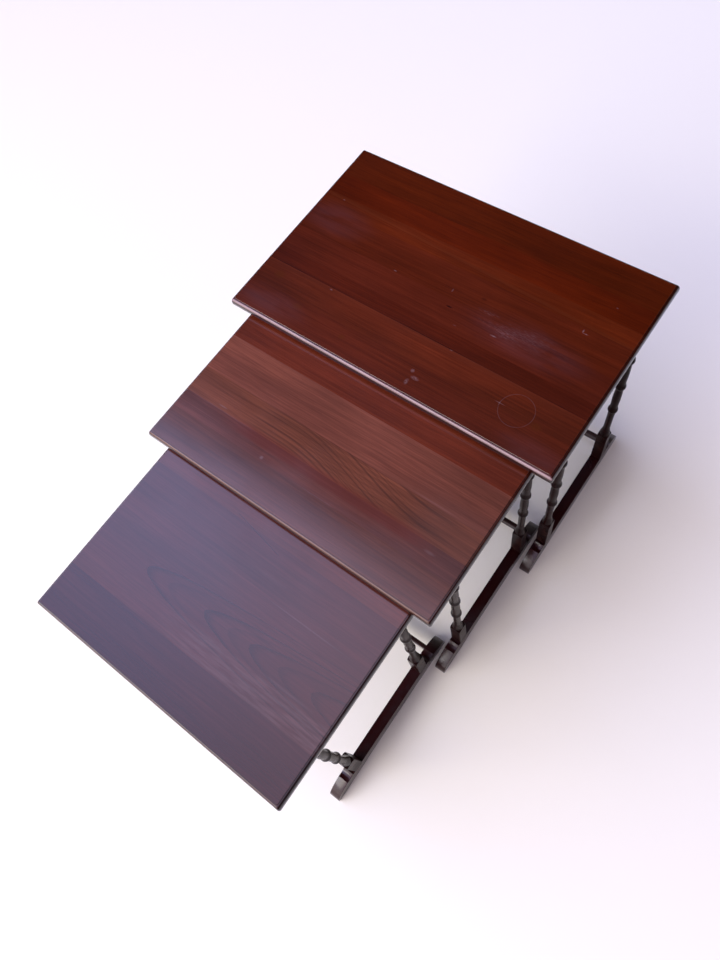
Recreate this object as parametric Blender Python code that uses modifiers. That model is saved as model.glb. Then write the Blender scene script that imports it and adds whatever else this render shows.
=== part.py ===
"""Nest of three side tables: moulded tops on turned legs, sledge feet and a low rear stretcher.

Metres, +Z up. +X runs along a table's long side and the tables pull out towards -Y. The origin
is on the floor at the middle of the nest's footprint. "Left" is -X and "front" is -Y.
"""

from math import cos, pi, radians, sin

import bmesh
import bpy
from mathutils import Matrix, Vector

MM = 0.001
GAP = 0.3 * MM  # between pieces that touch

# The large table, and what each smaller one loses
LARGE_WIDTH = 580 * MM
LARGE_DEPTH = 367 * MM
LARGE_HEIGHT = 514 * MM
LARGE_FOOT_LENGTH = 346 * MM
WIDTH_STEP = 61 * MM
DEPTH_STEP = 8 * MM
HEIGHT_STEP = 22.5 * MM
FOOT_STEP = 4 * MM

# How far each smaller table stands in front of the next larger one, centre to centre
MEDIUM_PULLED_OUT = 251 * MM
SMALL_PULLED_OUT = 292 * MM

# Top
TOP_THICKNESS = 15.5 * MM
TOP_CORNER_RADIUS = 2.5 * MM
ROUND_WIDTH = 4.2 * MM
ROUND_START = 5.5 * MM  # the height at which the rounded edge leaves the top's widest line
ROUND_END = 13.9 * MM
QUIRK_WIDTH = 0.9 * MM

# The end frames: bearer, two legs and foot in one upright plane
FRAME_THICKNESS = 20 * MM
SIDE_OVERHANG = 8.5 * MM
LEG_FROM_TOE = 68 * MM
FOOT_HEIGHT = 42 * MM
FOOT_RELIEF = 3.5 * MM
BEARER_HEIGHT = 22 * MM
BEARER_PAST_LEG = 32 * MM
BEARER_CHAMFER = 12 * MM

# Leg: a square block below, a turned part above
SHOULDER_START = 124 * MM
SHOULDER_END = 137 * MM
BELL_RADIUS = 9.6 * MM
SHAFT_RADIUS = 7.2 * MM
RING_RADIUS = 9 * MM
FIRST_RING = 234 * MM
RING_SPACING = 83 * MM
RING_COUNT = 3
TENON_RADIUS = 6 * MM
TENON_LENGTH = 15 * MM
TURNED_STEPS = 12

# Rear stretcher, a lath between the feet
STRETCHER_THICKNESS = 8 * MM
STRETCHER_BOTTOM = 19 * MM
STRETCHER_TOP = 37 * MM
STRETCHER_BEHIND_LEG = 36 * MM
STRETCHER_TENON = 8 * MM
STRETCHER_TENON_SHARE = 0.5  # of the lath's thickness and height

# Screws up through the bearers into the top
SCREW_RADIUS = 2 * MM
SCREW_HEAD_RADIUS = 4 * MM
SCREW_INTO_TOP = 8 * MM
SCREW_FROM_LEG = 34 * MM
SCREW_STEPS = 8

COLOURS = {  # base colour and roughness
    "large_top": ((0.115, 0.030, 0.017), 0.32),
    "medium_top": ((0.135, 0.043, 0.028), 0.32),
    "small_top": ((0.120, 0.045, 0.036), 0.32),
    "bearer": ((0.075, 0.022, 0.015), 0.45),
    "leg": ((0.050, 0.024, 0.020), 0.38),
    "foot": ((0.070, 0.014, 0.014), 0.35),
    "stretcher": ((0.055, 0.018, 0.015), 0.40),
    "screw": ((0.420, 0.400, 0.370), 0.35),
}


def clear_scene():
    for obj in list(bpy.data.objects):
        bpy.data.objects.remove(obj, do_unlink=True)


def new_collection(name):
    collection = bpy.data.collections.new(name)
    bpy.context.scene.collection.children.link(collection)
    return collection


def new_material(name, colour, roughness):
    material = bpy.data.materials.new(name)
    material.use_nodes = True
    shader = material.node_tree.nodes["Principled BSDF"]
    shader.inputs["Base Color"].default_value = (*colour, 1.0)
    shader.inputs["Roughness"].default_value = roughness
    shader.inputs["Metallic"].default_value = 1.0 if name == "screw" else 0.0
    return material


clear_scene()
PARTS = new_collection("nesting_tables")
CUTTERS = new_collection("cutters")
MATERIALS = {name: new_material(name, *look) for name, look in COLOURS.items()}


# ---------------------------------------------------------------- tools


def add_object(name, data, collection, location=(0, 0, 0), parent=None):
    obj = bpy.data.objects.new(name, data)
    collection.objects.link(obj)
    obj.location = location
    obj.parent = parent
    return obj


def add_cutter(name, mesh, location=(0, 0, 0), parent=None):
    cutter = add_object(name, mesh, CUTTERS, location, parent)
    cutter.hide_render = True
    cutter.display_type = "WIRE"
    return cutter


def add_boolean(obj, other, operation="DIFFERENCE"):
    boolean = obj.modifiers.new(operation.lower() + "_" + other.name, "BOOLEAN")
    boolean.operation = operation
    boolean.solver = "EXACT"
    boolean.object = other


def new_mesh(name, edit):
    mesh = bpy.data.meshes.new(name)
    edit.to_mesh(mesh)
    edit.free()
    return mesh


def settled_mesh(name, obj):
    """The object's shape after its modifiers, welded, as a mesh of its own."""
    bpy.context.view_layer.update()
    graph = bpy.context.evaluated_depsgraph_get()
    settled = bpy.data.meshes.new_from_object(obj.evaluated_get(graph))
    edit = bmesh.new()
    edit.from_mesh(settled)
    bmesh.ops.remove_doubles(edit, verts=edit.verts, dist=0.01 * MM)
    bmesh.ops.recalc_face_normals(edit, faces=edit.faces)
    bpy.data.meshes.remove(settled)
    return new_mesh(name, edit)


def box_mesh(name, low, high):
    low, high = Vector(low), Vector(high)
    edit = bmesh.new()
    bmesh.ops.create_cube(edit, size=1.0)
    bmesh.ops.scale(edit, vec=high - low, verts=edit.verts)
    bmesh.ops.translate(edit, vec=(low + high) / 2, verts=edit.verts)
    return new_mesh(name, edit)


def turned_mesh(name, profile, steps):
    """A piece turned about Z from (radius, height) points that run from its top to its bottom."""
    line = bpy.data.meshes.new(name)
    corners = [(radius, 0, height) for radius, height in profile]
    line.from_pydata(corners, [(i, i + 1) for i in range(len(corners) - 1)], [])
    blank = add_object(name, line, CUTTERS)
    screw = blank.modifiers.new("turn", "SCREW")
    screw.angle = 2 * pi
    screw.steps = steps
    screw.render_steps = steps
    screw.use_merge_vertices = True
    screw.merge_threshold = 0.01 * MM
    mesh = settled_mesh(name, blank)
    bpy.data.objects.remove(blank, do_unlink=True)
    return mesh


def sawn_mesh(name, outline, thickness):
    """A flat outline of (y, z) points with a thickness along X, centred on X = 0."""
    curve = bpy.data.curves.new(name, "CURVE")
    curve.dimensions = "2D"
    curve.fill_mode = "BOTH"
    curve.extrude = thickness / 2
    spline = curve.splines.new("POLY")
    spline.points.add(len(outline) - 1)
    for point, (along, up) in zip(spline.points, outline):
        point.co = (along, up, 0, 1)
    spline.use_cyclic_u = True
    drawn = add_object(name, curve, CUTTERS)
    mesh = settled_mesh(name, drawn)
    mesh.transform(Matrix(((0, 0, 1, 0), (1, 0, 0, 0), (0, 1, 0, 0), (0, 0, 0, 1))))
    bpy.data.objects.remove(drawn, do_unlink=True)
    return mesh


def mirrored(half):
    """An outline drawn up to the middle, carried on to the other side of Y = 0."""
    return half + [(-along, up) for along, up in reversed(half)]


# ---------------------------------------------------------------- sizes of one table


class Table:
    """The sizes of one table, and the empty on its slide axis that carries its pieces."""

    def __init__(self, name, order, parent, centre_y):
        self.name = name
        self.width = LARGE_WIDTH - order * WIDTH_STEP
        self.depth = LARGE_DEPTH - order * DEPTH_STEP
        self.height = LARGE_HEIGHT - order * HEIGHT_STEP
        self.underside = self.height - TOP_THICKNESS
        self.bearer_bottom = self.underside - BEARER_HEIGHT
        self.half_foot = (LARGE_FOOT_LENGTH - order * FOOT_STEP) / 2
        self.leg_x = self.width / 2 - SIDE_OVERHANG - FRAME_THICKNESS / 2
        self.leg_y = self.half_foot - LEG_FROM_TOE
        self.stretcher_y = self.leg_y + STRETCHER_BEHIND_LEG
        self.carrier = add_object(name + "_table", None, PARTS, (0, centre_y, 0), parent)

    def add_piece(self, name, mesh, slot, location=(0, 0, 0)):
        mesh.materials.append(MATERIALS[slot])
        return add_object(self.name + "_" + name, mesh, PARTS, location, self.carrier)

    def cut(self, obj, name, mesh, location=(0, 0, 0)):
        add_boolean(obj, add_cutter(self.name + "_" + name, mesh, location, self.carrier))


# ---------------------------------------------------------------- top


def top_sections():
    """(inset, height) of the top's outline, from its underside up over the moulded edge."""
    sections = [(2.2 * MM, 0), (0.5 * MM, 1.4 * MM), (0, 3 * MM), (0, ROUND_START)]
    for angle in (25, 48, 70, 90):
        inset = ROUND_WIDTH * (1 - cos(radians(angle)))
        sections.append((inset, ROUND_START + (ROUND_END - ROUND_START) * sin(radians(angle))))
    quirk = ROUND_WIDTH + QUIRK_WIDTH
    return sections + [(quirk, ROUND_END + 0.1 * MM), (quirk + 0.4 * MM, TOP_THICKNESS)]


def top_mesh(table):
    """A board grown upwards from its underside, one section of the moulded edge at a time."""
    sections = top_sections()
    half_width, half_depth = table.width / 2, table.depth / 2

    def spread(verts, old_inset, new_inset):
        across = (half_width - new_inset) / (half_width - old_inset)
        along = (half_depth - new_inset) / (half_depth - old_inset)
        bmesh.ops.scale(edit, vec=(across, along, 1), verts=verts)

    (start, _), (inset, height) = sections[:2]
    edit = bmesh.new()
    bmesh.ops.create_cube(edit, size=1.0)
    bmesh.ops.scale(edit, vec=(table.width - 2 * start, table.depth - 2 * start, height), verts=edit.verts)
    bmesh.ops.translate(edit, vec=(0, 0, height / 2), verts=edit.verts)
    upright = [e for e in edit.edges if abs(e.verts[0].co.z - e.verts[1].co.z) > height / 2]
    bmesh.ops.bevel(edit, geom=upright, offset=TOP_CORNER_RADIUS, segments=2, profile=0.5, affect="EDGES")
    lid = max(edit.faces, key=lambda face: face.calc_center_median().z)
    spread(lid.verts, start, inset)
    for new_inset, new_height in sections[2:]:
        lid = bmesh.ops.extrude_discrete_faces(edit, faces=[lid])["faces"][0]
        bmesh.ops.translate(edit, vec=(0, 0, new_height - height), verts=lid.verts)
        spread(lid.verts, inset, new_inset)
        inset, height = new_inset, new_height
    return new_mesh("top", edit)


# ---------------------------------------------------------------- end frames


def foot_outline(table):
    """A sledge foot: at each end a sloping toe, an arris, a shallow hollow and a small ridge by the leg."""
    toe = [(88, FOOT_RELIEF / MM), (78, 0), (2, 0), (0, 3), (0, 8), (1.2, 14.5), (4, 20.5), (9, 26.2), (16, 31.8),
           (25, 37.2), (35, 41.8), (41, 40.6), (47, 41.2), (52, 44.5), (53.5, 43), (56, FOOT_HEIGHT / MM)]
    return mirrored([(-table.half_foot + from_toe * MM, up * MM) for from_toe, up in toe])


def bearer_outline(table):
    reach = table.leg_y + BEARER_PAST_LEG
    low, high = table.bearer_bottom, table.underside - GAP
    return mirrored([(-reach, high), (-reach, low + BEARER_CHAMFER), (-reach + BEARER_CHAMFER, low)])


def leg_profile(table):
    """(radius, height) points down the lathe: tenon, three rings, bell, shoulders, block, tenon."""
    top = table.bearer_bottom - GAP
    points = [(0, top + TENON_LENGTH), (TENON_RADIUS, top + TENON_LENGTH), (TENON_RADIUS, top),
              (RING_RADIUS, top), (RING_RADIUS, top - 5 * MM)]
    for ring in reversed(range(RING_COUNT)):
        height = FIRST_RING + ring * RING_SPACING
        points += [(SHAFT_RADIUS - 0.5 * MM, height + 13 * MM), (RING_RADIUS - 0.5 * MM, height + 3.5 * MM),
                   (RING_RADIUS, height), (RING_RADIUS - 0.5 * MM, height - 3.5 * MM),
                   (SHAFT_RADIUS - 0.8 * MM, height - 9 * MM)]
        if ring > 0:
            points.append((SHAFT_RADIUS, height - RING_SPACING / 2))
    points += [(SHAFT_RADIUS - 1 * MM, SHOULDER_END + 28 * MM), (SHAFT_RADIUS + 0.4 * MM, SHOULDER_END + 13 * MM),
               (BELL_RADIUS, SHOULDER_END + 1 * MM), (BELL_RADIUS + 1 * MM, SHOULDER_END)]
    corner = FRAME_THICKNESS / 2 * 2**0.5 + 1 * MM
    foot = FOOT_HEIGHT + GAP
    return points + [(corner - 1.6 * MM, SHOULDER_START + 8 * MM), (corner, SHOULDER_START), (corner, foot),
                     (TENON_RADIUS, foot), (TENON_RADIUS, foot - TENON_LENGTH), (0, foot - TENON_LENGTH)]


def leg_mesh(table):
    """A square stick on the origin, kept only where it lies inside the turned profile."""
    half = FRAME_THICKNESS / 2
    stick = add_object("stick", box_mesh("stick", (-half, -half, 0), (half, half, table.height)), CUTTERS)
    turning = add_object("turning", turned_mesh("turning", leg_profile(table), TURNED_STEPS), CUTTERS)
    add_boolean(stick, turning, "INTERSECT")
    mesh = settled_mesh("leg", stick)
    bpy.data.objects.remove(stick, do_unlink=True)
    bpy.data.objects.remove(turning, do_unlink=True)
    for polygon in mesh.polygons:
        polygon.use_smooth = True
    mesh.set_sharp_from_angle(angle=radians(35))
    return mesh


def socket_mesh(low, high):
    """The room for a leg's tenon."""
    radius = TENON_RADIUS + GAP
    return turned_mesh("socket", [(0, high), (radius, high), (radius, low), (0, low)], TURNED_STEPS)


def build_end_frame(table, side, x):
    """The foot, two legs and bearer at one end."""
    sawn_foot = sawn_mesh("foot", foot_outline(table), FRAME_THICKNESS)
    sawn_bearer = sawn_mesh("bearer", bearer_outline(table), FRAME_THICKNESS)
    foot = table.add_piece("foot_" + side, sawn_foot, "foot", (x, 0, 0))
    bearer = table.add_piece("bearer_" + side, sawn_bearer, "bearer", (x, 0, 0))
    deep = TENON_LENGTH + 0.5 * MM
    for end, y in (("front", -table.leg_y), ("rear", table.leg_y)):
        place = side + "_" + end
        table.add_piece("leg_" + place, leg_mesh(table), "leg", (x, y, 0))
        in_foot = socket_mesh(FOOT_HEIGHT - deep, FOOT_HEIGHT + 5 * MM)
        in_bearer = socket_mesh(table.bearer_bottom - 5 * MM, table.bearer_bottom + deep)
        table.cut(foot, "foot_socket_" + place, in_foot, (x, y, 0))
        table.cut(bearer, "bearer_socket_" + place, in_bearer, (x, y, 0))
    return foot, bearer


# ---------------------------------------------------------------- stretcher


def stretcher_mesh(table):
    """A lath with a stub tenon drawn out of each end, round its own middle."""
    shoulder = table.leg_x - FRAME_THICKNESS / 2 - GAP
    half_thickness = STRETCHER_THICKNESS / 2
    half_height = (STRETCHER_TOP - STRETCHER_BOTTOM) / 2
    lath = box_mesh("lath", (-shoulder, -half_thickness, -half_height), (shoulder, half_thickness, half_height))
    edit = bmesh.new()
    edit.from_mesh(lath)
    bpy.data.meshes.remove(lath)
    long_edges = [e for e in edit.edges if abs(e.verts[0].co.x - e.verts[1].co.x) > shoulder]
    bmesh.ops.bevel(edit, geom=long_edges, offset=1.2 * MM, segments=2, profile=0.5, affect="EDGES")
    share = (1, STRETCHER_TENON_SHARE, STRETCHER_TENON_SHARE)
    for side in (-1, 1):
        end = max(edit.faces, key=lambda face: side * face.calc_center_median().x)
        end = bmesh.ops.extrude_discrete_faces(edit, faces=[end])["faces"][0]
        bmesh.ops.scale(edit, vec=share, verts=end.verts)
        end = bmesh.ops.extrude_discrete_faces(edit, faces=[end])["faces"][0]
        bmesh.ops.translate(edit, vec=(side * STRETCHER_TENON, 0, 0), verts=end.verts)
    return new_mesh("stretcher", edit)


def build_stretcher(table, feet):
    centre_z = (STRETCHER_BOTTOM + STRETCHER_TOP) / 2
    table.add_piece("stretcher", stretcher_mesh(table), "stretcher", (0, table.stretcher_y, centre_z))
    half_thickness = STRETCHER_THICKNESS / 2 * STRETCHER_TENON_SHARE + GAP
    half_height = (STRETCHER_TOP - STRETCHER_BOTTOM) / 2 * STRETCHER_TENON_SHARE + GAP
    inner_face = table.leg_x - FRAME_THICKNESS / 2
    near, far = inner_face - 5 * MM, inner_face + STRETCHER_TENON + 0.5 * MM
    for side, foot in feet.items():
        low_x, high_x = (-far, -near) if side == "left" else (near, far)
        low, high = (low_x, -half_thickness, -half_height), (high_x, half_thickness, half_height)
        table.cut(foot, "mortise_" + side, box_mesh("mortise", low, high), (0, table.stretcher_y, centre_z))


# ---------------------------------------------------------------- screws


def screw_profile(table):
    head = table.bearer_bottom + 0.3 * MM
    tip = table.underside + SCREW_INTO_TOP
    return [(0, tip), (SCREW_RADIUS, tip - 3 * MM), (SCREW_RADIUS, head + 2.4 * MM),
            (SCREW_HEAD_RADIUS, head + 0.4 * MM), (SCREW_HEAD_RADIUS, head), (0, head)]


def screw_hole_profile(table):
    """The screw's own shape with clearance all round, open below the bearer."""
    low = table.bearer_bottom
    tip = table.underside + SCREW_INTO_TOP + 1 * MM
    radius, head_radius = SCREW_RADIUS + GAP, SCREW_HEAD_RADIUS + GAP
    return [(0, tip), (radius, tip), (radius, low + 3.1 * MM), (head_radius, low + 1.1 * MM),
            (head_radius, low - 2 * MM), (0, low - 2 * MM)]


def build_screws(table, top, bearers):
    for side, x in (("left", -table.leg_x), ("right", table.leg_x)):
        for end, y in (("front", SCREW_FROM_LEG - table.leg_y), ("rear", table.leg_y - SCREW_FROM_LEG)):
            place = side + "_" + end
            screw = turned_mesh("screw", screw_profile(table), SCREW_STEPS)
            table.add_piece("screw_" + place, screw, "screw", (x, y, 0))
            hole_mesh = turned_mesh("hole", screw_hole_profile(table), SCREW_STEPS)
            hole = add_cutter(table.name + "_hole_" + place, hole_mesh, (x, y, 0), table.carrier)
            add_boolean(top, hole)
            add_boolean(bearers[side], hole)


# ---------------------------------------------------------------- the nest


def build_table(table):
    top = table.add_piece("top", top_mesh(table), table.name + "_top", (0, 0, table.underside))
    feet, bearers = {}, {}
    for side, x in (("left", -table.leg_x), ("right", table.leg_x)):
        feet[side], bearers[side] = build_end_frame(table, side, x)
    build_stretcher(table, feet)
    build_screws(table, top, bearers)


def main():
    small_depth = LARGE_DEPTH - 2 * DEPTH_STEP
    footprint_depth = LARGE_DEPTH / 2 + MEDIUM_PULLED_OUT + SMALL_PULLED_OUT + small_depth / 2
    large = Table("large", 0, None, footprint_depth / 2 - LARGE_DEPTH / 2)
    medium = Table("medium", 1, large.carrier, -MEDIUM_PULLED_OUT)
    small = Table("small", 2, medium.carrier, -SMALL_PULLED_OUT)
    for table in (large, medium, small):
        build_table(table)
    bpy.context.view_layer.update()


main()
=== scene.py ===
"""Looks of the nest of tables: lacquered, red-brown stained wood under a soft, bluish sky."""

from math import cos, pi, radians, sin

import bmesh
import bpy
from mathutils import Euler, Matrix, Vector


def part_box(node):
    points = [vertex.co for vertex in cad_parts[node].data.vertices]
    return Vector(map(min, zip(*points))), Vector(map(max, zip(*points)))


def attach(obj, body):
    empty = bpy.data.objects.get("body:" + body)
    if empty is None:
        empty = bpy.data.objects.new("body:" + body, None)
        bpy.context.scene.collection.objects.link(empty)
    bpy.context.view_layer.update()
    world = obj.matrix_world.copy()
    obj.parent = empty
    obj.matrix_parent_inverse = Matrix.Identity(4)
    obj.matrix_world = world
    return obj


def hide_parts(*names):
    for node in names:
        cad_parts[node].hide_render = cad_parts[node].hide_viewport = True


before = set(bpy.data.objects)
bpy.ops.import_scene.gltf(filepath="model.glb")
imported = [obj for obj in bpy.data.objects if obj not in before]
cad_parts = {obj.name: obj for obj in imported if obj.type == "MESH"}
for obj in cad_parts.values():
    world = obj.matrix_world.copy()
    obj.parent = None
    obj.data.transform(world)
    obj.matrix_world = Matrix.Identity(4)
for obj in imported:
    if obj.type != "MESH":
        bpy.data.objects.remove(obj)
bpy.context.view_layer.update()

MM = 0.001
TABLES = ("large", "medium", "small")

# Moulded edge of a top
ROUND_WIDTH = 4.2 * MM
ROUND_START = 5.5 * MM
ROUND_END = 13.9 * MM
QUIRK_WIDTH = 0.9 * MM
CORNER_RADIUS = 2.5 * MM

# Turned legs
LEG_HALF = 10 * MM  # of the square stock
SHAFT_RADIUS = 7.2 * MM
RING_RADIUS = 9 * MM
FIRST_RING = 234 * MM
RING_SPACING = 83 * MM
RING_COUNT = 3
SHOULDER_START = 124 * MM
SHOULDER_END = 137 * MM
BELL_RADIUS = 9.5 * MM
TURNED_STEPS = 36
FOOT_HEIGHT = 42 * MM
TENON_DEPTH = 3 * MM  # how far a leg runs on into its foot and bearer, out of sight

LARGE_DEPTH = 367 * MM
FOOT_SOFTENING = 0.7 * MM
BEARER_CHAMFER = 12 * MM
BROAD_FACE = 3 * MM  # area over perimeter

# Camera
CAMERA_PLACE = (0.4159, -0.2939, 1.4537)
CAMERA_ANGLES = (25.098, 7.935, 36.047)  # degrees about X, Y and Z
CAMERA_LENS = 27.98
CAMERA_SHIFT = (-0.0045, -0.0340)

# Radiance of the sky by direction
SKY_LEFT = (2.6, 2.9, 5.0)
SKY_RIGHT = (2.4, 2.1, 2.9)
FRONT_HAZE = (2.3, 2.1, 2.2)
HORIZON = (1.5, 1.5, 1.5)
DIM_HORIZON = (0.25, 0.23, 0.23)

# Key light, at the front left
KEY_PLACE = (-1.4, -3.4, 2.6)
KEY_AIM = (0.1, 0, 0.3)
KEY_SIZE = (3.4, 2.2)
KEY_RADIANCE = 5.6
KEY_COLOUR = (1.0, 0.92, 0.77)

FLOOR_COLOUR = (0.97, 0.93, 0.79)


# ---------------------------------------------------------------- shading tools


class Shading:
    """The node tree of a material or a world, built up value by value."""

    def __init__(self, owner):
        owner.use_nodes = True
        self.owner = owner
        self.nodes = owner.node_tree.nodes

    def node(self, kind, inputs, **settings):
        node = self.nodes.new("ShaderNode" + kind)
        for key, value in settings.items():
            setattr(node, key, value)
        for key, value in inputs.items():
            self.feed(node.inputs[key], value)
        return node

    def feed(self, socket, value):
        if isinstance(value, bpy.types.NodeSocket):
            self.owner.node_tree.links.new(value, socket)
        else:
            socket.default_value = (*value, 1) if socket.type == "RGBA" and len(value) == 3 else value

    def math(self, operation, first, second=0.0):
        return self.node("Math", {0: first, 1: second}, operation=operation).outputs[0]

    def plus(self, first, second):
        return self.math("ADD", first, second)

    def minus(self, first, second):
        return self.math("SUBTRACT", first, second)

    def times(self, first, *others):
        for other in others:
            first = self.math("MULTIPLY", first, other)
        return first

    def length(self, x, y):
        return self.math("SQRT", self.plus(self.times(x, x), self.times(y, y)))

    def place(self):
        """X, Y and Z in the piece's own frame, in metres."""
        return self.node("SeparateXYZ", {0: self.node("TexCoord", {}).outputs["Object"]}).outputs

    def point(self, x, y, z=0.0):
        return self.node("CombineXYZ", {0: x, 1: y, 2: z}).outputs[0]

    def noise(self, place, stretch, detail=2.0, seed=0.0, distortion=0.0):
        """Noise whose spots are 1 / stretch metres long on each axis."""
        axes = [self.times(axis, factor) for axis, factor in zip(place, stretch)]
        inputs = {"Vector": self.point(*axes), "Scale": 1.0, "Detail": detail, "W": seed,
                  "Distortion": distortion}
        return self.node("TexNoise", inputs, noise_dimensions="4D").outputs[0]

    def band(self, value, low, high, out_low=0.0, out_high=1.0):
        """The value mapped smoothly from one range to another, and held at its ends."""
        inputs = {"Value": value, "From Min": low, "From Max": high, "To Min": out_low, "To Max": out_high}
        return self.node("MapRange", inputs, interpolation_type="SMOOTHSTEP").outputs[0]

    def between(self, value, low, high, soft):
        """1 between low and high, falling off over a soft margin outside them."""
        return self.times(self.band(value, low - soft, low), self.band(value, high, high + soft, 1.0, 0.0))

    def line(self, value, width):
        """1 where the value is 0, falling to 0 at the width on either side."""
        return self.band(self.math("ABSOLUTE", value), 0.0, width, 1.0, 0.0)

    def ramp(self, value, stops, interpolation="LINEAR"):
        """A colour picked by the value from (position, colour) stops."""
        node = self.node("ValToRGB", {0: value})
        node.color_ramp.interpolation = interpolation
        elements = node.color_ramp.elements
        while len(elements) < len(stops):
            elements.new(1.0)
        for element, (position, colour) in zip(elements, stops):
            element.position = position
            element.color = (*colour, 1)
        return node.outputs[0]

    def mix(self, share, first, second, blend="MIX"):
        node = self.node("Mix", {0: share, 6: first, 7: second}, data_type="RGBA", blend_type=blend)
        return node.outputs[2]

    def scaled(self, colour, factor):
        """The colour times a grey factor."""
        return self.mix(1.0, colour, self.point(factor, factor, factor), "MULTIPLY")

    def random_seed(self):
        return self.times(self.node("ObjectInfo", {}).outputs["Random"], 40.0)

    def finish(self, colour, roughness, height=None, distance=0.0, specular=0.5, metallic=0.0):
        shader = self.nodes["Principled BSDF"]
        shader.inputs["Specular IOR Level"].default_value = specular
        shader.inputs["Metallic"].default_value = metallic
        self.feed(shader.inputs["Base Color"], colour)
        self.feed(shader.inputs["Roughness"], roughness)
        if height is not None:
            bump = self.node("Bump", {"Height": height, "Distance": distance, "Strength": 0.5})
            self.feed(shader.inputs["Normal"], bump.outputs[0])
        return self.owner


def new_look(name):
    return Shading(bpy.data.materials.new(name))


# ---------------------------------------------------------------- camera, floor and light


def add_object(name, data):
    obj = bpy.data.objects.new(name, data)
    bpy.context.scene.collection.objects.link(obj)
    return obj


def add_camera():
    camera = add_object("camera", bpy.data.cameras.new("camera"))
    camera.location = CAMERA_PLACE
    camera.rotation_euler = Euler([radians(angle) for angle in CAMERA_ANGLES])
    camera.data.sensor_width = 36
    camera.data.lens = CAMERA_LENS
    camera.data.shift_x, camera.data.shift_y = CAMERA_SHIFT
    bpy.context.scene.camera = camera


def add_floor():
    edit = bmesh.new()
    bmesh.ops.create_grid(edit, x_segments=1, y_segments=1, size=8)
    mesh = bpy.data.meshes.new("floor")
    edit.to_mesh(mesh)
    edit.free()
    floor = add_object("floor", mesh)
    mesh.materials.append(new_look("floor").finish(FLOOR_COLOUR, 0.9, specular=0.0))


def add_sky():
    """Bright over the front and left, bluer to the left, dark over the rear and right, hazy in front."""
    world = bpy.data.worlds.new("studio")
    bpy.context.scene.world = world
    sky = Shading(world)
    x, y, z = sky.node("SeparateXYZ", {0: sky.node("TexCoord", {}).outputs["Generated"]}).outputs
    height = sky.math("MAXIMUM", z, 0.05)
    rightward = sky.math("DIVIDE", x, height)
    rearward = sky.math("DIVIDE", y, height)
    tint = sky.mix(sky.band(rightward, -0.57, -0.10), SKY_LEFT, SKY_RIGHT)
    clear = sky.times(sky.band(rearward, 0.125, 0.222, 1, 0), sky.band(rightward, 0.0, 0.5, 1, 0),
                      sky.band(rearward, -0.2, 0.05, 0.72, 1.0), sky.band(rearward, -1.6, -0.6, 0.85, 1.0))
    glint = sky.times(sky.between(rearward, 0.20, 0.27, 0.05), sky.between(rightward, -0.24, 0.1, 0.05),
                      0.14)
    faint = sky.plus(glint, sky.band(rearward, 0.25, 0.6, 0.05, 0.010))
    overhead = sky.scaled(tint, sky.math("MAXIMUM", clear, faint))
    low = sky.mix(sky.band(rearward, -0.9, -0.2), FRONT_HAZE, HORIZON)
    dim = sky.math("MAXIMUM", sky.band(rightward, 0.2, 1.8), sky.band(rearward, 0.4, 1.6))
    low = sky.mix(dim, low, DIM_HORIZON)
    radiance = sky.mix(sky.band(z, 0.22, 0.50), low, overhead)
    sky.feed(sky.nodes["Background"].inputs["Color"], radiance)


def add_key():
    light = bpy.data.lights.new("key", "AREA")
    light.shape = "RECTANGLE"
    light.size, light.size_y = KEY_SIZE
    light.energy = KEY_RADIANCE * KEY_SIZE[0] * KEY_SIZE[1] * pi
    light.color = KEY_COLOUR
    key = add_object("key", light)
    key.location = KEY_PLACE
    key.rotation_euler = (Vector(KEY_AIM) - Vector(KEY_PLACE)).to_track_quat("-Z", "Y").to_euler()


def add_studio():
    add_camera()
    add_floor()
    add_sky()
    add_key()
    bpy.context.scene.view_settings.view_transform = "Standard"


# ---------------------------------------------------------------- sticks, feet and screws


def stick_wood(name, along, dark, light, roughness, specular):
    """Stained stick stock with its grain along one axis (0 for X), rubbed paler at its edges."""
    look = new_look(name)
    place = look.place()
    seed = look.random_seed()
    stretch = [220.0] * 3
    stretch[along] = 14.0
    broad = look.noise(place, [0.25 * s for s in stretch], 3, seed)
    fibre = look.noise(place, [2.4 * s for s in stretch], 5, seed, 0.4)
    pores = look.band(look.noise(place, [7.0 * s for s in stretch], 3, seed), 0.60, 0.72)
    tone = look.times(look.plus(broad, fibre), 0.5)
    middle_tone = [(a + b) / 2 for a, b in zip(dark, light)]
    colour = look.ramp(tone, [(0.34, dark), (0.50, middle_tone), (0.66, light)])
    colour = look.scaled(colour, look.band(pores, 0, 1, 1.0, 0.55))
    edges = look.band(look.node("NewGeometry", {}).outputs["Pointiness"], 0.52, 0.62)
    patchy = look.band(look.noise(place, (60, 60, 60), 4, seed), 0.45, 0.65)
    colour = look.mix(look.times(edges, patchy, 0.35), colour, (0.20, 0.09, 0.06))
    handled = look.noise(place, (9, 9, 9), 3, seed)
    uneven_gloss = look.band(handled, 0.35, 0.65, roughness, roughness + 0.14)
    return look.finish(colour, uneven_gloss, pores, 0.12 * MM, specular)


def screw_metal():
    look = new_look("screw_metal")
    tarnish = look.noise(look.place(), (400, 400, 400), 3)
    colour = look.ramp(tarnish, [(0.3, (0.30, 0.27, 0.22)), (0.7, (0.52, 0.50, 0.46))])
    return look.finish(colour, look.band(tarnish, 0.3, 0.7, 0.28, 0.5), metallic=1.0)


# ---------------------------------------------------------------- wood of the tops


def soft_spot(look, place, centre, radii):
    """1 in the middle of an ellipse on the top, and 0 outside it; centre and radii in mm."""
    across = look.math("DIVIDE", look.minus(place[0], centre[0] * MM), radii[0] * MM)
    along = look.math("DIVIDE", look.minus(place[1], centre[1] * MM), radii[1] * MM)
    return look.band(look.length(across, along), 0.2, 1.0, 1.0, 0.0)


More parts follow.
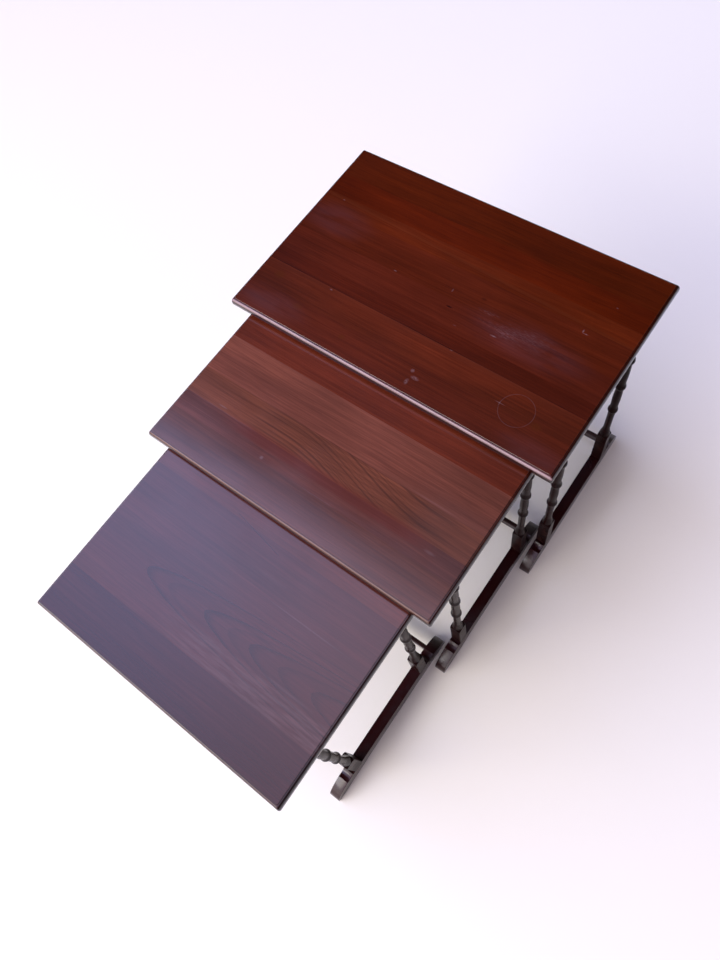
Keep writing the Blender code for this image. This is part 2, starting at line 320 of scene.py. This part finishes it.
def add_spots(look, place, spots, total=0.0):
    """The spots, listed as (centre, radii, strength), added up."""
    for centre, radii, strength in spots:
        total = look.plus(total, look.times(soft_spot(look, place, centre, radii), strength))
    return total


def glass_ring(look, place, centre, radius, width):
    """A thin, broken ring left by a glass."""
    distance = look.length(look.minus(place[0], centre[0] * MM), look.minus(place[1], centre[1] * MM))
    broken = look.band(look.noise(place, (45, 45, 0)), 0.35, 0.55, 0.3, 1.0)
    return look.times(look.line(look.minus(distance, radius * MM), width * MM), broken)


def top_wood(name, width, depth, staves, figure, marks):
    """Boards glued edge to edge, grain along X. staves lists (start, colour) from the rear edge, in mm."""
    look = new_look(name)
    place = look.place()
    x, y = place[0], place[1]
    from_rear = look.minus(0.5, look.math("DIVIDE", y, depth))
    starts = [start * MM / depth for start, _ in staves]
    tones = [(start, [(0.13 + 0.37 * i) % 1] * 3) for i, start in enumerate(starts)]
    seed = look.times(look.ramp(from_rear, tones, "CONSTANT"), 30.0)
    colour = look.ramp(from_rear, [(start, tone) for start, (_, tone) in zip(starts, staves)], "CONSTANT")

    drift = look.noise(place, (3, 9, 0), 2, seed)
    grain = (x, look.plus(y, look.times(drift, 14 * MM)))
    clouds = look.noise(place, (5, 16, 0), 3, seed)
    streaks = look.noise(grain, (1.8, 75), 4, seed)
    fibres = look.noise(grain, (8, 340), 4, seed)
    threads = look.noise(grain, (22, 900), 3, seed)
    pores = look.band(look.noise(place, (70, 1300, 0), 2, seed), 0.60, 0.75)
    for layer, contrast in ((clouds, 0.16), (streaks, 0.12), (fibres, 0.14), (threads, 0.12)):
        colour = look.scaled(colour, look.band(layer, 0.30, 0.70, 1 + contrast, 1 - contrast))
    colour = look.scaled(colour, look.band(pores, 0.0, 1.0, 1.0, 0.78))
    colour = figure(look, place, colour, streaks)

    to_end = look.minus(width / 2, look.math("ABSOLUTE", x))
    to_side = look.minus(depth / 2, look.math("ABSOLUTE", y))
    # Darker rims at the two ends: partly end grain taking more stain, partly painted shade on those rims
    end_stain_and_rim_shade = look.band(to_end, ROUND_WIDTH - 0.8 * MM, ROUND_WIDTH, 0.35, 1.0)
    # Painted shade: a dark line along the quirk groove beside the moulded edge
    from_quirk = look.minus(look.math("MINIMUM", to_end, to_side), ROUND_WIDTH + QUIRK_WIDTH / 2)
    painted_quirk_shade = look.times(look.line(from_quirk, 1.2 * QUIRK_WIDTH), 0.65)
    # Painted shade: the lower part of the moulded edge and the underside darkened
    painted_underside_shade = look.band(place[2], -6.5 * MM, -2 * MM, 0.22, 1.0)
    colour = look.scaled(colour, look.times(end_stain_and_rim_shade, painted_underside_shade, look.minus(1.0, painted_quirk_shade)))

    # Pale wear marks, and on the large top a painted highlight along the front edge, mixed in as pale pink
    # and made rougher
    pale = marks(look, place)
    colour = look.mix(pale, colour, (0.40, 0.28, 0.28))
    dust = look.band(look.noise(place, (420, 420, 0), 1), 0.80, 0.86, 0.0, 0.25)
    colour = look.mix(dust, colour, (0.30, 0.26, 0.26))
    uneven_gloss = look.band(look.noise(place, (7, 7, 0), 4), 0.35, 0.7, 0.09, 0.16)
    roughness = look.plus(uneven_gloss, look.times(pale, 0.25))
    waviness = look.noise(place, (6, 30, 0), 2, seed)
    height = look.minus(look.times(waviness, 0.6), look.times(pores, 0.03))
    return look.finish(colour, roughness, height, 0.18 * MM)


# (start in mm from the rear edge, stain colour) of each stave
LARGE_STAVES = [(0, (0.068, 0.0086, 0.0010)), (62, (0.084, 0.0090, 0.0010)),
                (104, (0.096, 0.0132, 0.0026)), (134, (0.080, 0.0112, 0.0030)),
                (190, (0.082, 0.0118, 0.0040)), (238, (0.070, 0.0092, 0.0028)),
                (266, (0.090, 0.0140, 0.0042)), (312, (0.082, 0.0124, 0.0040))]
MEDIUM_STAVES = [(0, (0.088, 0.0136, 0.0036)), (70, (0.118, 0.0200, 0.0074)),
                 (152, (0.156, 0.0450, 0.0250)), (220, (0.134, 0.0390, 0.0180)),
                 (267, (0.096, 0.0280, 0.0180)), (300, (0.086, 0.0250, 0.0130))]
SMALL_STAVES = [(0, (0.076, 0.0150, 0.0080)), (86, (0.052, 0.0105, 0.0080)),
                (150, (0.054, 0.0110, 0.0085)), (238, (0.058, 0.0130, 0.0095)),
                (276, (0.037, 0.0070, 0.0062))]


def large_figure(look, place, colour, streaks):
    """A streaky glow before one joint, a paler line further back, a few knots, duller ends and patches of
    painted lilac sheen.
    """
    x, y = place[0], place[1]
    below_joint = look.plus(y, 82 * MM)
    glow = look.times(look.band(below_joint, -14 * MM, -2 * MM), look.band(below_joint, -0.6 * MM, 0, 1, 0),
                      look.band(streaks, 0.4, 0.6, 0.15, 0.7))
    colour = look.mix(glow, colour, (0.105, 0.022, 0.010))
    joint = look.times(look.line(below_joint, 0.9 * MM), 0.5)
    colour = look.mix(joint, colour, (0.020, 0.003, 0.001))
    bent = look.plus(look.minus(y, 62 * MM), look.times(x, 0.045))
    pale_line = look.times(look.line(bent, 5 * MM), 0.35)
    colour = look.mix(pale_line, colour, (0.100, 0.020, 0.006))
    dark_line = look.times(look.line(look.plus(bent, 3 * MM), 0.8 * MM), 0.4)
    colour = look.mix(dark_line, colour, (0.025, 0.003, 0.001))
    knots = add_spots(look, place, [((-185, -139), (12, 8), 0.5), ((-90, -148), (9, 6), 0.5),
                                    ((232, -127), (12, 9), 0.5), ((-248, -104), (14, 10), 0.6)])
    colour = look.mix(knots, colour, (0.085, 0.017, 0.0025))
    stains = add_spots(look, place, [((20, -20), (8, 2), 0.8), ((58, 18), (7, 4), 0.35)])
    colour = look.mix(stains, colour, (0.012, 0.002, 0.001))
    # Painted reflection: patches of lilac sheen, broken up by noise, where the lacquer mirrors the sky
    patchy_haze_and_sheen = add_spots(look, place, [((-235, 32), (90, 44), 0.07), ((-230, -155), (90, 32), 0.09),
                                   ((150, -18), (130, 44), 0.09), ((250, -165), (70, 28), 0.07)])
    uneven = look.band(look.noise(place, (14, 45, 0), 4), 0.30, 0.65, 0.25, 1.25)
    duller_ends = look.band(look.math("ABSOLUTE", x), 120 * MM, 290 * MM, 1.0, 0.84)
    colour = look.scaled(colour, duller_ends)
    return look.mix(look.times(patchy_haze_and_sheen, uneven), colour, (0.17, 0.10, 0.12))


def large_marks_and_edge_highlight(look, place):
    """Scuffs, flecks, a crossed scratch, a glass ring, and a painted highlight along the front edge's round.
    """
    speckle = look.noise(place, (120, 900, 0), 5)
    patchy_haze_and_sheen = look.noise(place, (14, 60, 0), 4)
    broken = look.times(look.band(speckle, 0.44, 0.70), look.band(patchy_haze_and_sheen, 0.35, 0.60))
    scuffs = add_spots(look, place, [((135, -12), (100, 26), 0.09), ((118, -20), (26, 8), 0.18),
                                     ((85, 0), (34, 4), 0.22)])
    scuffs = look.times(scuffs, broken)
    ring = look.times(glass_ring(look, place, (196.5, -119), 26, 1.0), 0.07)
    spots = [((36, -141), (4, 4), 0.22), ((46, -150), (9, 4), 0.20), ((38, -161), (4, 7), 0.20),
             ((170, -120.5), (11, 0.9), 0.16), ((170, -120.5), (0.9, 6), 0.12), ((-90, -5.5), (4, 1.2), 0.22),
             ((-157, -86), (3.5, 1.8), 0.2), ((8, 8), (1.6, 4.5), 0.14), ((65, -83), (4, 1.3), 0.16),
             ((45, -44), (4, 1.2), 0.12), ((104, -31), (7, 1.6), 0.30), ((210, 42), (1.6, 4), 0.25),
             ((215, 39), (6, 1.3), 0.30), ((232, 101), (2.4, 1.2), 0.18), ((-249, 72), (3, 1.3), 0.18)]
    ragged = look.band(look.noise(place, (260, 420, 0), 3), 0.36, 0.56, 0.25, 1.0)
    flecks = look.times(add_spots(look, place, spots), ragged)
    # Painted highlight: a pale pink line along the upper part of the front edge's round
    from_front = look.plus(place[1], LARGE_DEPTH / 2)
    painted_edge_highlight = look.times(look.between(from_front, 1.5 * MM, 2.6 * MM, 1.2 * MM),
                        look.band(patchy_haze_and_sheen, 0.3, 0.6, 0.42, 0.66), look.band(place[2], -6.5 * MM, -4.5 * MM))
    return look.math("MAXIMUM", look.plus(look.plus(scuffs, ring), flecks), painted_edge_highlight)


def medium_figure(look, place, colour, streaks):
    """Grain that swings forwards across the olive stave, a crisp joint behind it and a red band before it."""
    x, y = place[0], place[1]
    bent = look.plus(y, look.band(x, -70 * MM, 190 * MM, 0.0, 50 * MM))
    lines = look.noise((x, bent), (2, 300), 3)
    in_stave = look.times(look.between(y, -86 * MM, -41.5 * MM, 3 * MM),
                          look.between(x, -90 * MM, 170 * MM, 60 * MM))
    dark_lines = look.times(in_stave, look.band(lines, 0.45, 0.62, 0.0, 0.5))
    colour = look.mix(dark_lines, colour, (0.030, 0.012, 0.007))
    seam = look.times(look.line(look.plus(y, 41 * MM), 0.9 * MM), look.band(x, -80 * MM, 0.0))
    colour = look.mix(look.times(seam, 0.5), colour, (0.03, 0.008, 0.006))
    pale = look.times(look.between(y, -40 * MM, -34 * MM, 3 * MM), look.band(x, -60 * MM, 160 * MM), 0.35)
    colour = look.mix(pale, colour, (0.170, 0.055, 0.032))
    streaky_x = look.plus(x, look.times(streaks, 90 * MM))
    colour = look.scaled(colour, look.band(streaky_x, 60 * MM, 270 * MM, 1.0, 0.80))
    red = look.times(look.between(y, -100 * MM, -87 * MM, 6 * MM),
                     look.between(x, -120 * MM, 160 * MM, 60 * MM), 0.45)
    return look.mix(red, colour, (0.115, 0.018, 0.010))


def medium_marks(look, place):
    """A few faint rubs."""
    return add_spots(look, place, [((-79, -116), (4, 4), 0.16), ((-184, -82), (12, 1.6), 0.13),
                                   ((170, -38), (50, 2.0), 0.05), ((205, -100), (12, 3), 0.08)])


def small_figure(look, place, colour, streaks):
    """Cathedral arches along the middle board with their tips to the left, and one long scratch."""
    x, y = place[0], place[1]
    off = look.plus(y, 43 * MM)
    bowed = look.plus(look.times(off, off, 140.0), look.times(streaks, 24 * MM))
    inside = look.minus(x, bowed)
    arches = 0.0
    tips = ((-133, 0.75), (-90, 0.3), (-22, 0.8), (22, 0.35), (60, 0.7), (112, 0.4), (168, 0.6))
    for tip, strength in tips:
        behind_tip = look.minus(inside, tip * MM)
        arch = look.times(look.band(behind_tip, -1.5 * MM, 0.0),
                          look.band(behind_tip, 0.0, 24 * MM, strength, 0.0))
        arches = look.math("MAXIMUM", arches, arch)
    in_board = look.between(y, -84 * MM, -6 * MM, 22 * MM)
    colour = look.mix(look.times(arches, in_board, 0.75), colour, (0.006, 0.002, 0.002))
    slope = look.plus(look.minus(y, 82 * MM), look.times(x, 0.19))
    scratch = look.times(look.line(slope, 0.8 * MM), look.between(x, -60 * MM, 24 * MM, 8 * MM), 0.7)
    return look.mix(scratch, colour, (0.006, 0.003, 0.003))


def small_marks(look, place):
    """A paler, dry-looking board towards the front, and a few light rubs."""
    patchy_haze_and_sheen = look.band(look.noise(place, (24, 260, 0), 5), 0.35, 0.65, 0.0, 0.08)
    board = look.times(look.between(place[1], -97 * MM, -68 * MM, 5 * MM),
                       look.band(place[0], -80 * MM, 30 * MM))
    rubs = add_spots(look, place, [((120, 21), (90, 1.6), 0.07), ((40, 46), (40, 5), 0.02),
                                   ((150, -60), (60, 3), 0.05)])
    return look.plus(look.times(board, patchy_haze_and_sheen), rubs)


# (staves, figure, marks) of each top; the large top's marks include a painted highlight on its front edge
TOP_LOOKS = {
    "large": (LARGE_STAVES, large_figure, large_marks_and_edge_highlight),
    "medium": (MEDIUM_STAVES, medium_figure, medium_marks),
    "small": (SMALL_STAVES, small_figure, small_marks),
}

# (axis of the grain, dark stain, light stain, roughness, specular level) of each kind of stick
STICK_LOOKS = {
    "leg": (2, (0.004, 0.0012, 0.0013), (0.017, 0.0036, 0.0036), 0.22, 0.05),
    "foot": (1, (0.009, 0.0005, 0.0006), (0.026, 0.0014, 0.0016), 0.16, 0.5),
    "bearer": (1, (0.020, 0.005, 0.004), (0.060, 0.014, 0.010), 0.38, 0.4),
    "stretcher": (0, (0.008, 0.002, 0.002), (0.024, 0.005, 0.004), 0.25, 0.35),
}


def make_materials():
    """The material of every slot, by the slot's name."""
    materials = {}
    for table, settings in TOP_LOOKS.items():
        low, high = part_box(table + "_top")
        size = high - low
        materials[table + "_top"] = top_wood(table + "_top_wood", size.x, size.y, *settings)
    for kind, settings in STICK_LOOKS.items():
        materials[kind] = stick_wood(kind + "_wood", *settings)
    materials["screw"] = screw_metal()
    return materials


# ---------------------------------------------------------------- shapes


def mesh_of(name, edit, smooth_angle=32):
    """The mesh, smooth shaded, except for its broad flat faces."""
    slim = [face.calc_area() < BROAD_FACE * face.calc_perimeter() for face in edit.faces]
    mesh = bpy.data.meshes.new(name)
    edit.to_mesh(mesh)
    edit.free()
    mesh.set_sharp_from_angle(angle=radians(smooth_angle))
    mesh.polygons.foreach_set("use_smooth", slim)
    return mesh


def settled_mesh(name, obj):
    """The object's shape after its modifiers, welded; the object itself is removed."""
    bpy.context.view_layer.update()
    graph = bpy.context.evaluated_depsgraph_get()
    settled = bpy.data.meshes.new_from_object(obj.evaluated_get(graph))
    edit = bmesh.new()
    edit.from_mesh(settled)
    bmesh.ops.remove_doubles(edit, verts=edit.verts, dist=0.005 * MM)
    bmesh.ops.recalc_face_normals(edit, faces=edit.faces)
    bpy.data.meshes.remove(settled)
    bpy.data.objects.remove(obj, do_unlink=True)
    return mesh_of(name, edit)


def add_bevel(obj, width, segments=3, angle=30):
    bevel = obj.modifiers.new("soften", "BEVEL")
    bevel.width = width
    bevel.segments = segments
    bevel.limit_method = "ANGLE"
    bevel.angle_limit = radians(angle)


def smooth_curve(points, steps=4):
    """Points along a Catmull-Rom curve through the given ones."""
    ends = [points[0], *points, points[-1]]
    curve = []
    for before, start, end, after in zip(ends, ends[1:], ends[2:], ends[3:]):
        for step in range(steps):
            t = step / steps
            curve.append(tuple(
                0.5 * (2 * b + (c - a) * t + (2 * a - 5 * b + 4 * c - d) * t**2
                       + (3 * b - a - 3 * c + d) * t**3)
                for a, b, c, d in zip(before, start, end, after)))
    return curve + [points[-1]]


def box_object(name, low, high):
    low, high = Vector(low), Vector(high)
    edit = bmesh.new()
    bmesh.ops.create_cube(edit, size=1.0)
    bmesh.ops.scale(edit, vec=high - low, verts=edit.verts)
    bmesh.ops.translate(edit, vec=(low + high) / 2, verts=edit.verts)
    return add_object(name, mesh_of(name, edit))


def sawn_object(name, outline, thickness):
    """A flat outline of (y, z) points with a thickness along X, centred on X = 0."""
    curve = bpy.data.curves.new(name, "CURVE")
    curve.dimensions = "2D"
    curve.fill_mode = "BOTH"
    curve.extrude = thickness / 2
    spline = curve.splines.new("POLY")
    spline.points.add(len(outline) - 1)
    for point, (along, up) in zip(spline.points, outline):
        point.co = (along, up, 0, 1)
    spline.use_cyclic_u = True
    mesh = settled_mesh(name, add_object(name, curve))
    mesh.transform(Matrix(((0, 0, 1, 0), (1, 0, 0, 0), (0, 1, 0, 0), (0, 0, 0, 1))))
    return add_object(name, mesh)


def top_sections(thickness):
    """(inset, height) of the top's outline, from its underside up over the moulded edge."""
    sections = [(2.2 * MM, 0), (1.2 * MM, 0.3 * MM), (0.5 * MM, 1.2 * MM), (0.1 * MM, 2.6 * MM),
                (0, ROUND_START)]
    for angle in range(9, 91, 9):
        inset = ROUND_WIDTH * (1 - cos(radians(angle)))
        sections.append((inset, ROUND_START + (ROUND_END - ROUND_START) * sin(radians(angle))))
    quirk = ROUND_WIDTH + QUIRK_WIDTH
    return sections + [(quirk, ROUND_END + 0.05 * MM), (quirk + 0.1 * MM, thickness - 0.4 * MM),
                       (quirk + 0.5 * MM, thickness)]


def top_mesh(name, width, depth, thickness):
    """The moulded board, with its upper face on Z = 0 and its middle on the origin."""
    sections = top_sections(thickness)
    (start, _), (inset, height) = sections[:2]
    edit = bmesh.new()

    def spread(verts, old, new):
        grow = ((width / 2 - new) / (width / 2 - old), (depth / 2 - new) / (depth / 2 - old), 1)
        bmesh.ops.scale(edit, vec=grow, verts=verts)

    bmesh.ops.create_cube(edit, size=1.0)
    bmesh.ops.scale(edit, vec=(width - 2 * start, depth - 2 * start, height), verts=edit.verts)
    bmesh.ops.translate(edit, vec=(0, 0, height / 2 - thickness), verts=edit.verts)
    upright = [e for e in edit.edges if abs(e.verts[0].co.z - e.verts[1].co.z) > height / 2]
    bmesh.ops.bevel(edit, geom=upright, offset=CORNER_RADIUS, segments=5, profile=0.5, affect="EDGES")
    lid = max(edit.faces, key=lambda face: face.calc_center_median().z)
    spread(lid.verts, start, inset)
    for new_inset, new_height in sections[2:]:
        lid = bmesh.ops.extrude_discrete_faces(edit, faces=[lid])["faces"][0]
        bmesh.ops.translate(edit, vec=(0, 0, new_height - height), verts=lid.verts)
        spread(lid.verts, inset, new_inset)
        inset, height = new_inset, new_height
    return mesh_of(name, edit, 40)


def leg_profile(low, high):
    """(radius, height) points down the lathe, from the bearer to the foot."""
    shaft = [(RING_RADIUS, high - 4 * MM), (RING_RADIUS - 1.2 * MM, high - 8 * MM)]
    for ring in reversed(range(RING_COUNT)):
        height = FIRST_RING + ring * RING_SPACING
        shaft += [(SHAFT_RADIUS - 0.5 * MM, height + 15 * MM), (SHAFT_RADIUS + 0.2 * MM, height + 8 * MM),
                  (RING_RADIUS - 0.6 * MM, height + 4 * MM), (RING_RADIUS, height),
                  (RING_RADIUS - 0.6 * MM, height - 4 * MM), (SHAFT_RADIUS - 0.7 * MM, height - 8.5 * MM)]
        if ring > 0:
            shaft.append((SHAFT_RADIUS, height - RING_SPACING / 2))
    shaft += [(SHAFT_RADIUS - 1 * MM, SHOULDER_END + 33 * MM),
              (SHAFT_RADIUS - 0.4 * MM, SHOULDER_END + 21 * MM),
              (SHAFT_RADIUS + 1.2 * MM, SHOULDER_END + 10 * MM),
              (BELL_RADIUS, SHOULDER_END + 1.5 * MM)]
    corner = LEG_HALF * 2**0.5 + 0.2 * MM
    shoulder = [(BELL_RADIUS + 0.2 * MM, SHOULDER_END)]
    for angle in (70, 50, 30, 10):
        shoulder.append((BELL_RADIUS + (corner - BELL_RADIUS) * cos(radians(angle)),
                         SHOULDER_START + (SHOULDER_END - SHOULDER_START) * sin(radians(angle))))
    return ([(0, high), (RING_RADIUS, high)] + smooth_curve(shaft) + shoulder
            + [(corner, SHOULDER_START), (corner + 1 * MM, low), (0, low)])


def turned_object(name, profile):
    """A piece turned about Z from (radius, height) points that run from its top to its bottom."""
    line = bpy.data.meshes.new(name)
    line.from_pydata([(r, 0, z) for r, z in profile], [(i, i + 1) for i in range(len(profile) - 1)], [])
    turned = add_object(name, line)
    screw = turned.modifiers.new("turn", "SCREW")
    screw.angle = 2 * pi
    screw.steps = TURNED_STEPS
    screw.render_steps = TURNED_STEPS
    screw.use_merge_vertices = True
    screw.merge_threshold = 0.01 * MM
    return add_object(name, settled_mesh(name, turned))


def leg_mesh(name, low, high):
    """A square stick kept only where it lies inside the turned profile."""
    turning = turned_object("turning", leg_profile(low, high))
    stick = box_object("stick", (-LEG_HALF, -LEG_HALF, low - 5 * MM), (LEG_HALF, LEG_HALF, high + 5 * MM))
    add_bevel(stick, 0.7 * MM)
    boolean = stick.modifiers.new("turned", "BOOLEAN")
    boolean.operation = "INTERSECT"
    boolean.solver = "EXACT"
    boolean.object = turning
    mesh = settled_mesh(name, stick)
    bpy.data.objects.remove(turning, do_unlink=True)
    return mesh


def foot_outline(half):
    """A sledge foot: at each end a sloping toe, an arris, a shallow hollow and a small ridge by the leg.

    The points of one end are (distance from the toe, height) in mm, from the underside up and inwards.
    """
    underside = [(88, 3.5), (78, 0), (2, 0)]
    slope = smooth_curve([(0, 3), (0, 8), (1.2, 14.5), (4, 20.5), (9, 26.2), (16, 31.8), (25, 37.2),
                          (35, 41.8)], 3)
    hollow = smooth_curve([(35.5, 41.7), (41, 40.6), (47, 41.2), (52, 44.5)], 3)
    ridge = smooth_curve([(52.4, 44.5), (53.5, 43.2), (54.6, 42.4), (56.5, FOOT_HEIGHT / MM)], 3)
    side = underside + slope + hollow + ridge
    half_outline = [(-half + from_toe * MM, up * MM) for from_toe, up in side]
    return half_outline + [(-along, up) for along, up in reversed(half_outline)]


# ---------------------------------------------------------------- pieces


def place_piece(name, mesh, node, body, slot, materials, location):
    """Puts a visual piece in the place of a CAD node, riding on its body."""
    piece = add_object(name, mesh)
    piece.location = location
    mesh.materials.clear()
    mesh.materials.append(materials[slot])
    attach(piece, body)
    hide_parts(node)


def middle(node):
    low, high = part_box(node)
    return (low + high) / 2


def build_top(body, materials):
    low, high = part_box(body + "_top")
    mesh = top_mesh(body + "_board", high.x - low.x, high.y - low.y, high.z - low.z)
    place = ((low.x + high.x) / 2, (low.y + high.y) / 2, high.z)
    place_piece(body + "_board", mesh, body + "_top", body, body + "_top", materials, place)


def build_legs(body, materials):
    bearer_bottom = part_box(body + "_bearer_left")[0].z
    leg = leg_mesh(body + "_turned_leg", FOOT_HEIGHT - TENON_DEPTH, bearer_bottom + TENON_DEPTH)
    for side in ("left", "right"):
        for end in ("front", "rear"):
            node = body + "_leg_" + side + "_" + end
            centre = middle(node)
            place_piece(node + "_turned", leg.copy(), node, body, "leg", materials, (centre.x, centre.y, 0))


def build_feet(body, materials):
    for side in ("left", "right"):
        node = body + "_foot_" + side
        low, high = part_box(node)
        foot = sawn_object("foot", foot_outline((high.y - low.y) / 2), high.x - low.x)
        add_bevel(foot, FOOT_SOFTENING, 3, 40)
        centre = middle(node)
        place_piece(node + "_shaped", settled_mesh("foot", foot), node, body, "foot", materials,
                    (centre.x, centre.y, 0))


def build_bearers(body, materials):
    for side in ("left", "right"):
        node = body + "_bearer_" + side
        low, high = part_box(node)
        half = (high.y - low.y) / 2
        end = [(-half, high.z), (-half, low.z + BEARER_CHAMFER), (-half + BEARER_CHAMFER, low.z)]
        outline = end + [(-along, up) for along, up in reversed(end)]
        bearer = sawn_object("bearer", outline, high.x - low.x)
        add_bevel(bearer, 0.6 * MM, 2)
        centre = middle(node)
        place_piece(node + "_planed", settled_mesh("bearer", bearer), node, body, "bearer", materials,
                    (centre.x, centre.y, 0))


def build_stretcher(body, materials):
    node = body + "_stretcher"
    low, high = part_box(node)
    centre = (low + high) / 2
    lath = box_object("lath", low - centre, high - centre)
    add_bevel(lath, 1.6 * MM, 4)
    place_piece(node + "_lath", settled_mesh("lath", lath), node, body, "stretcher", materials, centre)


def main():
    add_studio()
    materials = make_materials()
    for body in TABLES:
        build_top(body, materials)
        build_legs(body, materials)
        build_feet(body, materials)
        build_bearers(body, materials)
        build_stretcher(body, materials)
    for name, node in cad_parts.items():
        if "_screw_" in name:
            node.data.materials.clear()
            node.data.materials.append(materials["screw"])


main()
